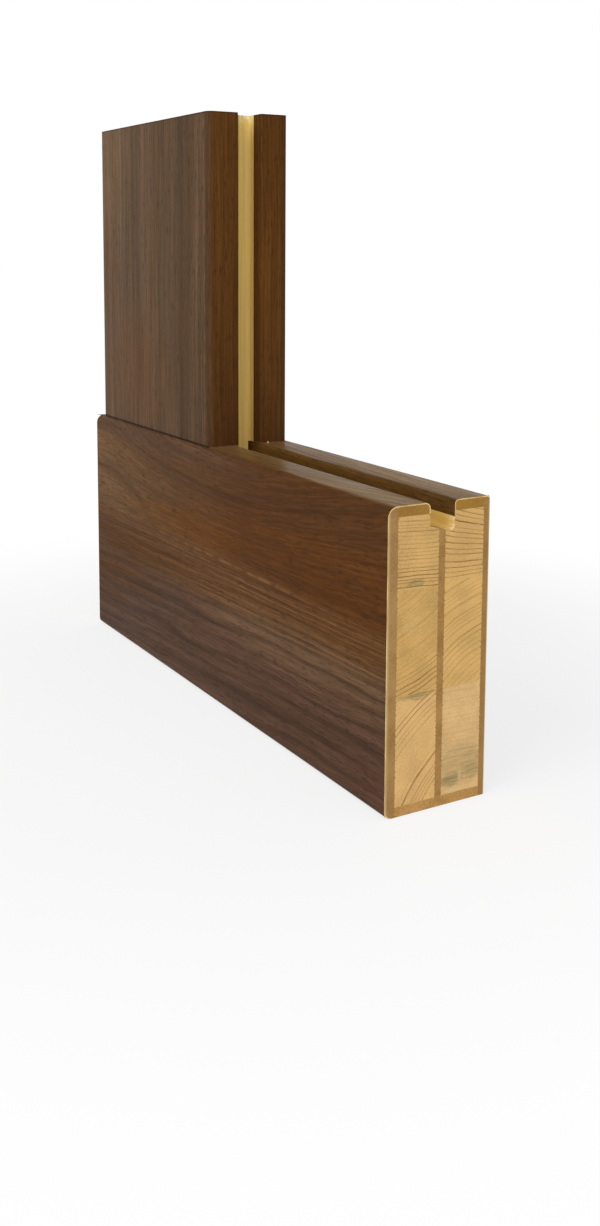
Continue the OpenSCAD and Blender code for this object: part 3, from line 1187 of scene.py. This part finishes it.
@dataclass
class WrappedMember:
    """One member of the leaf: its wrapped films, its boards and the laths of its core."""

    section: SectionFrame
    length: float
    front: float
    back: float
    width: float
    groove: Pair
    front_radius: float
    back_lip_radius: float
    back_film_reach: float
    outer_radius: float = 3.0
    back_radius: float = 1.2
    front_lip_radius: float = 2.2
    front_film_reach: float = 4.0
    skin_depth: float = 0.7

    @classmethod
    def packed(cls, section: SectionFrame, front_radius: float, back_lip_radius: float,
               back_film_reach: float) -> "WrappedMember":
        """Reads a member's sizes from its packed films.

        Args:
            section: the member's section.
            front_radius: the radius of its front edge beside the groove.
            back_lip_radius: the radius of its back lip where it turns into the groove.
            back_film_reach: how far its back film is folded down the groove.

        Returns:
            The member.
        """
        front_low, front_high = (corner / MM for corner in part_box(f"{section.member.value}_front_film"))
        back_low, back_high = (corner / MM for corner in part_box(f"{section.member.value}_back_film"))
        _, across, along = section.order
        face = section.origin[1]
        return cls(section, front_high[along] - front_low[along], front_low.y - face, back_high.y - face,
                   front_high[across] - front_low[across], (front_high.y - face, back_low.y - face),
                   front_radius, back_lip_radius, back_film_reach)

    def films(self) -> tuple[FilmWrap, FilmWrap]:
        """Works out how each film is bent over the wood.

        Returns:
            The front film and the back film.
        """
        front_flat = self.groove[0] - self.front - self.front_radius - self.front_lip_radius
        front = FilmWrap(
            self.section, Side.FRONT, self.length, (self.front + self.outer_radius, 0.0),
            (Bend(self.outer_radius), Run(self.width - self.outer_radius - self.front_radius),
             Bend(self.front_radius), Run(front_flat), Bend(self.front_lip_radius),
             Run(self.front_film_reach - self.front_lip_radius)))
        back_flat = self.back - self.groove[1] - self.back_radius - self.back_lip_radius
        back = FilmWrap(
            self.section, Side.BACK, self.length, (self.back, 0.0),
            (Run(self.width - self.back_radius), Bend(self.back_radius), Run(back_flat),
             Bend(self.back_lip_radius), Run(self.back_film_reach - self.back_lip_radius)))
        return front, back

    def wrap(self, figure: Figure, core: bpy.types.Material) -> list[str]:
        """Builds the two films with their print.

        Args:
            figure: how the printed veneer was cut.
            core: the material of the film's edges.

        Returns:
            The films' names.
        """
        names = []
        for film in self.films():
            printed = WalnutPrint(f"{self.section.member.value}_{film.side.value}_walnut_print_film", figure,
                                  self.length, self.width, turned=film.side is Side.BACK,
                                  stands=self.section.member is Member.RAIL)
            names.append(film.build(printed.material(), core).name)
        return names

    def dress_boards(self) -> list[str]:
        """Gives the fibreboards their sawn finish.

        Returns:
            The boards' names.
        """
        name = self.section.member.value
        dressed = []
        for board, colour, skin_depth, nodes in (
                ("front_facing", "#AE8956", self.front + self.skin_depth, ("front_facing",)),
                ("back_facing", "#A67F4C", 0.0, ("back_facing",)),
                ("lip_strips", "#A67C35", 0.0, ("front_lip_strip", "back_lip_strip")),
                ("outer_strip", "#C69A5D", 0.0, ("outer_strip",)),
                ("centre_strip", "#B08750", 0.0, ("centre_strip",))):
            coat = SawnFibreboard(f"{name}_{board}_sawn_mdf", self.section, colour, skin_depth).material()
            dressed += [dress(f"{name}_{node}", coat) for node in nodes]
        return dressed

    def dress_laths(self, laths: dict[str, SawnPine]) -> list[str]:
        """Gives the laths their wood.

        Args:
            laths: each lath's finish, by its place in the core.

        Returns:
            The laths' names.
        """
        dressed = []
        for place, finish in laths.items():
            node = f"{self.section.member.value}_{place}"
            sides = tuple(corner.y / MM - self.section.origin[1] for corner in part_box(node))
            placed = replace(finish, sawn_at=self.length, sides=sides)
            dressed.append(dress(node, placed.material()))
        return dressed


def dress(node: str, coat: bpy.types.Material) -> str:
    """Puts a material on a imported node.

    Args:
        node: the node's name.
        coat: its new material.

    Returns:
        The node's name.
    """
    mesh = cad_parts[node].data
    mesh.materials.clear()
    mesh.materials.append(coat)
    return node


def stile_laths(section: SectionFrame) -> dict[str, SawnPine]:
    """Chooses the six laths of the stile's core, whose rings the sawn end shows.

    Args:
        section: the stile's section.

    Returns:
        Each lath's finish, by its place in the core.
    """
    resin = "#8A7442"
    dirt = "#7F7650"
    return {
        "front_core_inner": SawnPine(
            "front_inner_sawn_pine", section, heart=(33.0, 420.0), ring=1.42, bold_rings=((330.0, 340.0),),
            faint=0.65, bold=1.5, side="#E4BE68", seed=1.0,
            stains=(Stain((12.5, 85.4), (4.2, 1.5), 0.75, "#7C7A52"),)),
        "front_core_middle": SawnPine(
            "front_middle_sawn_pine", section, heart=(-14.0, 123.0), ring=1.9, bold_rings=((74.0, 84.0),),
            faint=0.28, bold=1.0, early="#CFA664", seed=2.0,
            stains=(Stain((13.0, 76.0), (12.0, 9.0), 0.12, dirt),
                    Stain((10.0, 71.0), (3.0, 4.5), 0.2, "#E9CB90"))),
        "front_core_outer": SawnPine(
            "front_outer_sawn_pine", section, heart=(60.0, -25.0), ring=1.9,
            bold_rings=((72.5, 81.5), (51.0, 62.0)), faint=0.04, bold=0.8, early="#DDB375", seed=3.0,
            stains=(Stain((13.5, 44.2), (11.0, 1.6), 0.6, resin),
                    Stain((14.5, 43.4), (4.5, 1.5), 0.5, dirt))),
        "back_core_inner": SawnPine(
            "back_inner_sawn_pine", section, heart=(36.0, 400.0), ring=2.2, bold_rings=((280.0, 322.0),),
            fan=-0.0143, bold=0.9, side="#E4BE68", seed=4.0),
        "back_core_middle": SawnPine(
            "back_middle_sawn_pine", section, heart=(58.0, 14.0), ring=2.1,
            bold_rings=((51.5, 57.0), (61.0, 64.0)), faint=0.36, bold=0.7, early="#D9AF6C", seed=5.0),
        "back_core_outer": SawnPine(
            "back_outer_sawn_pine", section, heart=(30.0, -300.0), ring=1.9, bold_rings=((0.0, 45.0),),
            faint=0.16, early="#DAB47C", seed=6.0,
            stains=(Stain((34.0, 14.5), (11.0, 8.5), 0.5), Stain((29.5, 9.0), (6.0, 2.8), 0.65, dirt),
                    Stain((39.0, 10.5), (4.5, 3.0), 0.5, dirt),
                    Stain((33.5, 9.5), (0.8, 3.0), 0.7, "#D9BE8C"),
                    Stain((34.0, 4.9), (9.0, 0.9), 0.6, "#E2C592"))),
    }


def rail_laths(section: SectionFrame) -> dict[str, SawnPine]:
    """Chooses the six laths of the rail's core, whose rings only its sawn top shows.

    Args:
        section: the rail's section.

    Returns:
        Each lath's finish, by its place in the core.
    """
    hearts = {
        "front_core_inner": (30.0, -60.0),
        "front_core_middle": (-20.0, 130.0),
        "front_core_outer": (48.0, 60.0),
        "back_core_inner": (10.0, 40.0),
        "back_core_middle": (60.0, 10.0),
        "back_core_outer": (20.0, 180.0),
    }
    return {
        place: SawnPine(f"rail_{place}_sawn_pine", section, heart=heart, ring=2.0 + 0.3 * number,
                        bold_rings=((0.0, 250.0),), bold=0.6, seed=11.0 + number)
        for number, (place, heart) in enumerate(hearts.items())
    }


@dataclass(frozen=True)
class GlueBead:
    """A bead of glue that was pressed out at the foot of the rail's back lip, flattened against it."""

    place_mm: tuple[float, float, float]
    reach_mm: tuple[float, float, float] = (0.45, 0.6, 0.55)
    colour: str = "#CFA48E"
    cloud: str = "#BD917A"

    def build(self) -> bpy.types.Object:
        """Makes the bead.

        Returns:
            The bead, which rides on the body.
        """
        shape = bmesh.new()
        size = Matrix.Diagonal((*(reach * MM for reach in self.reach_mm), 1.0))
        place = Matrix.Translation(Vector(self.place_mm) * MM)
        bmesh.ops.create_icosphere(shape, subdivisions=3, radius=1.0, matrix=place @ size)
        glue = Mottled("set_hot_melt_glue", self.colour, self.cloud, roughness=0.3)
        bead = make_piece("rail_foot_glue_bead", shape, glue.material())
        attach(bead, BODY)
        return bead


@dataclass(frozen=True)
class FilmBurr:
    """A thin pointed flake of film that the saw left standing at a corner."""

    name: str
    root_mm: tuple[float, float, float]
    tip_mm: tuple[float, float, float]
    width_mm: float = 1.4
    thickness_mm: float = 0.55
    colour: str = "#523B2A"
    cloud: str = "#402C1E"

    def build(self) -> bpy.types.Object:
        """Makes the flake, a flat cone from its root to its tip.

        Returns:
            The flake, which rides on the body.
        """
        root, tip = Vector(self.root_mm) * MM, Vector(self.tip_mm) * MM
        reach = tip - root
        turn = reach.to_track_quat("Z", "Y").to_matrix().to_4x4()
        size = Matrix.Diagonal((self.width_mm * MM, self.thickness_mm * MM, 1.0, 1.0))
        shape = bmesh.new()
        bmesh.ops.create_cone(shape, cap_ends=True, segments=6, radius1=0.5, radius2=0.15, depth=reach.length,
                              matrix=Matrix.Translation((root + tip) / 2) @ turn @ size)
        torn = Mottled(f"{self.name}_walnut_print_film", self.colour, self.cloud, roughness=0.45)
        flake = make_piece(self.name, shape, torn.material())
        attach(flake, BODY)
        return flake


@dataclass(frozen=True)
class PhotoCamera:
    """The camera, at the place that was fitted to the photograph's edges."""

    place_m: tuple[float, float, float] = (0.4889, -0.2681, 0.2047)
    turn_deg: tuple[float, float, float] = (83.225, -0.192, 60.119)
    lens: float = 36.905
    sensor: float = 36.0
    shift: Pair = (0.01466, -0.17917)
    clip_m: Pair = (0.01, 20.0)

    def build(self) -> bpy.types.Object:
        """Makes the camera and takes the picture through it.

        Returns:
            The camera object.
        """
        data = bpy.data.cameras.new("photo_camera")
        data.lens = self.lens
        data.sensor_width = self.sensor
        data.sensor_fit = "AUTO"
        data.shift_x, data.shift_y = self.shift
        data.clip_start, data.clip_end = self.clip_m
        camera = bpy.data.objects.new("photo_camera", data)
        camera.location = self.place_m
        camera.rotation_euler = Euler([math.radians(angle) for angle in self.turn_deg])
        bpy.context.scene.collection.objects.link(camera)
        bpy.context.scene.camera = camera
        return camera


def looked_at(tree: Tree) -> Socket:
    """Tells the rays that show the white background from those that only carry its light.

    Args:
        tree: the tree that takes the nodes.

    Returns:
        1 where the camera, a mirror or a clear piece looks at the background, and 0 elsewhere.
    """
    rays = add(tree, "LightPath").node.outputs
    shown = add(tree, "Math", rays["Is Camera Ray"], rays["Is Glossy Ray"], operation="MAXIMUM")
    return add(tree, "Math", shown, rays["Is Transmission Ray"], operation="MAXIMUM")


@dataclass(frozen=True)
class WhiteFloor(Finish):
    """Matt white studio floor: it keeps the object's shadow near by, and is plain white further out."""

    name: str = "matt_white_studio_floor"
    paint: str = "#FFFFFF"
    reflectance: float = 0.92
    shadow_m: Fade = (0.15, 0.36, 0.26, 0.0)

    def surface(self, tree: Tree) -> Socket:
        """Draws the floor, which can't be seen from below.

        Args:
            tree: the material's tree.

        Returns:
            The floor's shader.
        """
        place = add(tree, "TexCoord").node.outputs["Object"]
        distance = add(tree, "VectorMath", place, operation="LENGTH")
        near = add(tree, "MapRange", distance, *self.shadow_m, **SMOOTH)
        dulled = (*(channel * self.reflectance for channel in linear(self.paint)[:3]), 1.0)
        shaded = add(tree, "BsdfDiffuse", Color=dulled)
        white = add(tree, "Emission", Color=self.paint, Strength=1.0)
        seen = add(tree, "MixShader", near, white, shaded)
        surface = add(tree, "MixShader", looked_at(tree), shaded, seen)
        below = add(tree, "NewGeometry").node.outputs["Backfacing"]
        return add(tree, "MixShader", below, surface, add(tree, "BsdfTransparent"))


@dataclass(frozen=True)
class Stage:
    """A plain white floor that keeps a soft shadow, under a white sky."""

    half_width_m: float = 3.0
    sky_strength: float = 0.5

    def build(self) -> bpy.types.Object:
        """Makes the floor and the world.

        Returns:
            The floor object.
        """
        shape = bmesh.new()
        bmesh.ops.create_grid(shape, x_segments=1, y_segments=1, size=self.half_width_m)
        floor = make_piece("floor", shape, WhiteFloor().material())
        self.build_world()
        return floor

    def build_world(self) -> None:
        """Lights the object from all round, with a sky that is seen as plain white."""
        world = bpy.data.worlds.new("white_sky")
        bpy.context.scene.world = world
        world.use_nodes = True
        tree = world.node_tree
        tree.nodes.clear()
        lit = add(tree, "Background", Color="#FFFFFF", Strength=self.sky_strength)
        seen = add(tree, "Background", Color="#FFFFFF", Strength=1.0)
        add(tree, "OutputWorld", add(tree, "MixShader", looked_at(tree), lit, seen))


@dataclass(frozen=True)
class SoftBox:
    """A large soft lamp that looks at the middle of the object."""

    name: str
    place_m: tuple[float, float, float]
    size_m: float
    power: float
    aim_m: tuple[float, float, float] = (0.0, 0.0, 0.1)

    def build(self) -> bpy.types.Object:
        """Makes the lamp.

        Returns:
            The lamp object.
        """
        data = bpy.data.lights.new(self.name, "AREA")
        data.shape = "SQUARE"
        data.size = self.size_m
        data.energy = self.power
        lamp = bpy.data.objects.new(self.name, data)
        lamp.location = self.place_m
        aim = Vector(self.aim_m) - Vector(self.place_m)
        lamp.rotation_euler = aim.to_track_quat("-Z", "Y").to_euler()
        bpy.context.scene.collection.objects.link(lamp)
        return lamp


LAMPS = (
    SoftBox("key_lamp", place_m=(0.5, -1.6, 1.3), size_m=1.4, power=20.0),
    SoftBox("end_lamp", place_m=(1.8, -0.5, 0.9), size_m=1.2, power=9.0),
)
DETAILS = (
    GlueBead(place_mm=(-7.7, 10.2, 114.4)),
    FilmBurr("plain_end_burr", root_mm=(-135.4, -18.2, 113.8), tip_mm=(-135.7, -22.2, 114.1)),
    FilmBurr("sawn_end_burr", root_mm=(135.5, 21.3, 113.5), tip_mm=(135.6, 22.4, 113.9), width_mm=1.0),
)


def build_members() -> list[str]:
    """Builds and dresses the stile and the rail.

    Returns:
        The names of their pieces.
    """
    frames = section_frames()
    core = FilmCore().material()
    stile = WrappedMember.packed(frames[Member.STILE], front_radius=4.0, back_lip_radius=1.6,
                                 back_film_reach=6.2)
    rail = WrappedMember.packed(frames[Member.RAIL], front_radius=3.0, back_lip_radius=1.0,
                                back_film_reach=7.1)
    names = []
    for member, figure, laths in ((stile, Figure.CATHEDRAL, stile_laths(stile.section)),
                                  (rail, Figure.STRAIGHT, rail_laths(rail.section))):
        names += member.wrap(figure, core) + member.dress_boards() + member.dress_laths(laths)
    return names


def main() -> None:
    """Builds the scene's parts in order and reports each one."""
    logging.basicConfig(level=logging.INFO, format="%(message)s")
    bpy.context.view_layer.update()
    bpy.context.scene.view_settings.view_transform = "Standard"
    for part in (PhotoCamera(), Stage(), *LAMPS):
        LOG.info("%s built", part.build().name)
    for name in build_members():
        LOG.info("%s dressed", name)
    for detail in DETAILS:
        LOG.info("%s built", detail.build().name)


if __name__ == "__main__":
    main()
